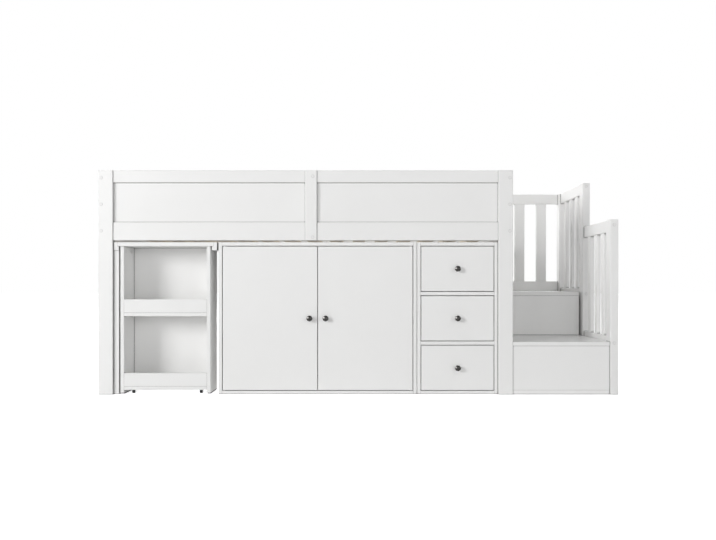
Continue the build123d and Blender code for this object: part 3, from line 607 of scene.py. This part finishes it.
def planed_corner(node, body, finish, outward, width):
    """The boards of a node, with more planed off the outer front corner that meets the next unit."""
    weld, near = 0.001 * MM, 0.05 * MM
    low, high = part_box(node)
    side, front = high.x if outward > 0 else low.x, low.y
    work = bmesh.new()
    work.from_mesh(nodes[node].data)
    bmesh.ops.remove_doubles(work, verts=work.verts, dist=weld)
    work.verts.index_update()
    for vertex in work.verts:
        across, behind = abs(vertex.co.x - side), vertex.co.y - front
        if across < near < behind < width:
            vertex.co.y = front + width
        elif behind < near < across < width:
            vertex.co.x = side - outward * width
    points = [tuple(vertex.co) for vertex in work.verts]
    faces = [[vertex.index for vertex in face.verts] for face in work.faces]
    work.free()
    mesh = bpy.data.meshes.new(node + "_planed")
    mesh.from_pydata(points, [], faces)
    mesh.materials.append(finish)
    piece = placed(node + "_planed", mesh)
    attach(piece, body)
    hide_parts(node)


planed_width = 2.2 * MM
for node, outward in [("cupboard_sides", 1), ("chest_sides", -1)]:
    planed_corner(node, "bed_frame", board["z"], outward, planed_width)

# Knobs: a small rosette, a waisted neck and a head with a sloping face
knob_profile = [
    (8.6, 0.0), (8.8, 0.5), (8.7, 1.2), (7.9, 2.0), (6.6, 2.7), (5.9, 3.8), (5.5, 5.4), (5.5, 7.4),
    (6.0, 9.4), (7.3, 11.2), (9.6, 12.7), (12.0, 14.2), (13.7, 16.0), (14.4, 17.8), (14.4, 19.3),
    (13.9, 20.5), (13.1, 21.3), (12.5, 21.5), (12.0, 21.8), (9.2, 23.45), (6.6, 24.85), (4.6, 25.6),
    (2.6, 25.94), (0.8, 26.0),
]
turned_knob = turned("turned_knob", knob_profile, sides=48)
knob_bodies = {"cupboard_knob_left": "door_left", "cupboard_knob_right": "door_right"}
for level in ["top", "middle", "bottom"]:
    knob_bodies["drawer_knob_" + level] = "drawer_" + level
for name, body in knob_bodies.items():
    low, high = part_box(name)
    start = ((low.x + high.x) / 2, high.y, (low.z + high.z) / 2)
    piece = fitted(name + "_turned", body, pewter, turned_knob, start, FACING_FRONT)
    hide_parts(name)

# Castors: a tyre with a raised hub, the axle's riveted ends and the plate's screws
screw_profile = [(3.6, 0.0), (3.6, 0.5), (2.9, 1.2), (1.5, 1.5), (1.2, 0.9)]
screw_head = turned("screw_head", screw_profile, sides=24)
tyre_profile = [
    (9.5, -4.6), (9.5, 4.6), (9.2, 5.8), (8.5, 6.7), (7.5, 7.0), (6.7, 6.9), (6.3, 6.1), (3.8, 6.1),
    (3.4, 7.0), (2.06, 7.0), (2.06, -7.0), (3.4, -7.0), (3.8, -6.1), (6.3, -6.1), (6.7, -6.9),
    (7.5, -7.0), (8.5, -6.7), (9.2, -5.8),
]
tyre = turned("tyre", tyre_profile, sides=40, bored=True)
rivet = turned("rivet", [(2.9, 0.0), (2.9, 0.3), (2.4, 0.8), (1.3, 1.1)], sides=24)
plate_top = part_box("castor_brackets")[1].z
plate_thickness = 1.5 * MM
cheek_face = 9.0 * MM
screws_across, screws_along = 28 * MM, 25 * MM
for hand in ["left", "right"]:
    wheel = "castor_wheel_" + hand
    wheel_low, wheel_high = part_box(wheel)
    middle = (wheel_low + wheel_high) / 2
    piece = fitted(wheel + "_tyre", wheel, black_plastic, tyre, tuple(middle), FACING_RIGHT)
    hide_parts(wheel)
    for cheek, x, tilt in [
        ("outer", middle.x - cheek_face, FACING_LEFT),
        ("inner", middle.x + cheek_face, FACING_RIGHT),
    ]:
        name = "castor_rivet_" + cheek + "_" + hand
        fitted(name, "desk", steel, rivet, (x, middle.y, middle.z), tilt)
    start = (middle.x - screws_across / 2, middle.y - screws_along / 2, plate_top - plate_thickness)
    fitted(
        "castor_screws_" + hand, "desk", steel, screw_head, start, FACING_DOWN,
        step=(screws_across, 0.0, 0.0), count=2, row_step=(0.0, screws_along, 0.0), rows=2, seed=5,
    )

# A black glide strip under each side of the bookcase, with eased edges and ends, just clear of the floor;
# its dark also stands in for the shade in the gap under the sides, as painted shade
bookcase_low, bookcase_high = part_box("bookcase_sides")
board_thickness = 18.0 * MM
glide_section = [
    (-9.0, 0.0), (-9.0, -4.6), (-8.2, -6.0), (-6.6, -6.8), (6.6, -6.8), (8.2, -6.0), (9.0, -4.6), (9.0, 0.0),
]
glide_front, glide_rear = bookcase_low.y + 20 * MM, bookcase_high.y - 3 * MM
eased_length, eased_depth = 2 * MM, 0.8
stations = [
    (glide_front, eased_depth), (glide_front + eased_length, 1.0),
    (glide_rear - eased_length, 1.0), (glide_rear, eased_depth),
]
half_board = board_thickness / 2
for hand, x in [("left", bookcase_low.x + half_board), ("right", bookcase_high.x - half_board)]:
    points = [
        (x + across * MM, y, bookcase_low.z + up * depth * MM)
        for y, depth in stations for across, up in glide_section
    ]
    sides, rings = len(glide_section), len(stations)
    faces = ring_faces(rings, sides)
    faces += [tuple(range(sides))[::-1], tuple(range((rings - 1) * sides, rings * sides))]
    mesh = bpy.data.meshes.new("bookcase_glide_" + hand)
    mesh.from_pydata(points, [], faces)
    work = bmesh.new()
    work.from_mesh(mesh)
    bmesh.ops.recalc_face_normals(work, faces=work.faces)
    work.to_mesh(mesh)
    work.free()
    mesh.materials.append(black_plastic)
    glide = placed("bookcase_glide_" + hand, mesh)
    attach(glide, "desk")

# Two screws through each end of every slat
slat_low, slat_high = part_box("bed_slats")
slat_count, slat_width = 15, 70 * MM
slat_pitch = (slat_high.x - slat_low.x - slat_width) / (slat_count - 1)
screw_inset, screw_spread = 14 * MM, 36 * MM
for side, y in [("front", slat_low.y + screw_inset), ("rear", slat_high.y - screw_inset)]:
    start = (slat_low.x + slat_width / 2 - screw_spread / 2, y, slat_high.z)
    fitted(
        "slat_screws_" + side, "bed_frame", steel, screw_head, start, FACING_UP,
        step=(slat_pitch, 0.0, 0.0), count=slat_count, row_step=(screw_spread, 0.0, 0.0), rows=2, seed=7,
    )

# Covers over the cam fittings, high on the bookcase's inner faces
cam_cover = turned("cam_cover", [(7.5, 0.0), (7.5, 0.5), (7.0, 0.9), (6.2, 0.7), (2.0, 0.6)], sides=32)
cover_inset, cover_drop, cover_spacing = 36 * MM, 26 * MM, 84 * MM
for hand, x, tilt in [
    ("left", bookcase_low.x + board_thickness, FACING_RIGHT),
    ("right", bookcase_high.x - board_thickness, FACING_LEFT),
]:
    start = (x, bookcase_low.y + cover_inset, bookcase_high.z - cover_drop)
    fitted(
        "cam_covers_" + hand, "desk", white_plastic, cam_cover, start, tilt,
        step=(0.0, cover_spacing, 0.0), count=2, seed=3,
    )

# Pins that hold the thin backs of the cupboard and the chest
pin_head = turned("pin_head", [(1.9, 0.0), (1.9, 0.2), (1.4, 0.5), (0.6, 0.6)], sides=16)
pin_inset = 5 * MM
for unit, pins_across, pins_up in [("cupboard", 9, 6), ("chest", 5, 6)]:
    low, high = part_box(unit + "_back")
    wide, tall = high.x - low.x - pin_inset * 2, high.z - low.z - pin_inset * 2
    corner = (low.x + pin_inset, high.y, low.z + pin_inset)
    fitted(
        unit + "_back_pins_level", "bed_frame", steel, pin_head, corner, FACING_BACK,
        step=(wide / (pins_across - 1), 0.0, 0.0), count=pins_across,
        row_step=(0.0, 0.0, tall), rows=2, seed=11,
    )
    pin_rise = tall / (pins_up - 1)
    start = (corner[0], corner[1], corner[2] + pin_rise)
    fitted(
        unit + "_back_pins_upright", "bed_frame", steel, pin_head, start, FACING_BACK,
        step=(0.0, 0.0, pin_rise), count=pins_up - 2, row_step=(wide, 0.0, 0.0), rows=2, seed=12,
    )

for template in [turned_knob, screw_head, tyre, rivet, cam_cover, pin_head]:
    bpy.data.objects.remove(template)


# Floor and surroundings
pure_white = (1.0, 1.0, 1.0, 1.0)
floor_reach, floor_glow = 40, 0.9
floor_mesh = bpy.data.meshes.new("floor")
floor_corners = [(x * floor_reach, y * floor_reach, 0) for x, y in [(-1, -1), (1, -1), (1, 1), (-1, 1)]]
floor_mesh.from_pydata(floor_corners, [], [(0, 1, 2, 3)])
floor = placed("floor", floor_mesh)
floor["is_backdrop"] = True
floor_material, floor_tree, floor_shader, _ = new_material("pale_floor")
floor_shader.inputs["Base Color"].default_value = (0.86, 0.86, 0.86, 1.0)
floor_shader.inputs["Roughness"].default_value = 0.9
floor_shader.inputs["Specular IOR Level"].default_value = 0.0
floor_shader.inputs["Emission Color"].default_value = pure_white
floor_rays = floor_tree.nodes.new("ShaderNodeLightPath")
camera_ray, glossy_ray = floor_rays.outputs["Is Camera Ray"], floor_rays.outputs["Is Glossy Ray"]
floor_seen = math_node(floor_tree, "MAXIMUM", camera_ray, glossy_ray)
glow = math_node(floor_tree, "MULTIPLY", floor_seen, floor_glow)
floor_tree.links.new(glow, floor_shader.inputs["Emission Strength"])
floor.data.materials.append(floor_material)

world = bpy.data.worlds.new("studio")
bpy.context.scene.world = world
world.use_nodes = True
air = world.node_tree
air.nodes.clear()
air_out = air.nodes.new("ShaderNodeOutputWorld")
backdrop = air.nodes.new("ShaderNodeBackground")
backdrop.inputs["Color"].default_value = pure_white
backdrop.inputs["Strength"].default_value = 1.0
ambient = air.nodes.new("ShaderNodeBackground")
ambient.inputs["Color"].default_value = (0.98, 0.99, 1.0, 1.0)
ambient.inputs["Strength"].default_value = 0.18
either = air.nodes.new("ShaderNodeMixShader")
rays = air.nodes.new("ShaderNodeLightPath")
seen = math_node(air, "MAXIMUM", rays.outputs["Is Camera Ray"], rays.outputs["Is Transmission Ray"])
seen = math_node(air, "MAXIMUM", seen, rays.outputs["Is Glossy Ray"])
air.links.new(seen, either.inputs[0])
air.links.new(ambient.outputs[0], either.inputs[1])
air.links.new(backdrop.outputs[0], either.inputs[2])
air.links.new(either.outputs[0], air_out.inputs[0])


# Lamps and camera
def soft_light(name, place, width, height, power, polish_only=False):
    """A large soft lamp that faces the middle of the object. Polish only: it gives highlights and no
    other light."""
    middle = Vector((0.1, 0.0, 0.5))
    lamp = bpy.data.lights.new(name, "AREA")
    lamp.shape = "RECTANGLE"
    lamp.size, lamp.size_y = width, height
    lamp.energy = power
    holder = placed(name, lamp)
    holder.location = place
    holder.rotation_euler = (middle - Vector(place)).to_track_quat("-Z", "Y").to_euler()
    holder.visible_diffuse = not polish_only


soft_light("key", (-10.1, -8.2, 4.2), width=4.0, height=4.0, power=895.0)
soft_light("front", (0.0, -14.0, 2.5), width=8.0, height=5.0, power=220.0)
soft_light("right", (9.5, -9.5, 3.6), width=6.0, height=5.0, power=280.0)
soft_light("rear", (-5.0, 10.5, 6.5), width=8.0, height=6.0, power=1000.0)
soft_light("top", (0.1, -1.5, 9.5), width=6.0, height=6.0, power=40.0)
soft_light("shine", (-9.6, -7.8, 4.4), width=7.0, height=7.0, power=2300.0, polish_only=True)

# The focal length, the shift and the width of the picture are in its pixels
picture_width, focal_length, shift_right, shift_up = 716.0, 700.0, -6.0, 15.0
sensor_width = 36.0
camera = bpy.data.cameras.new("camera")
camera.sensor_width = sensor_width
camera.lens = focal_length / picture_width * sensor_width
camera.shift_x = shift_right / picture_width
camera.shift_y = shift_up / picture_width
camera.clip_start, camera.clip_end = 0.05, 100.0
eye = placed("camera", camera)
eye.location = (0.0285, -3.953, 0.545)
eye.rotation_euler = (QUARTER, 0.0, 0.0)
bpy.context.scene.camera = eye
bpy.context.scene.view_settings.view_transform = "Standard"

low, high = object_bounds()
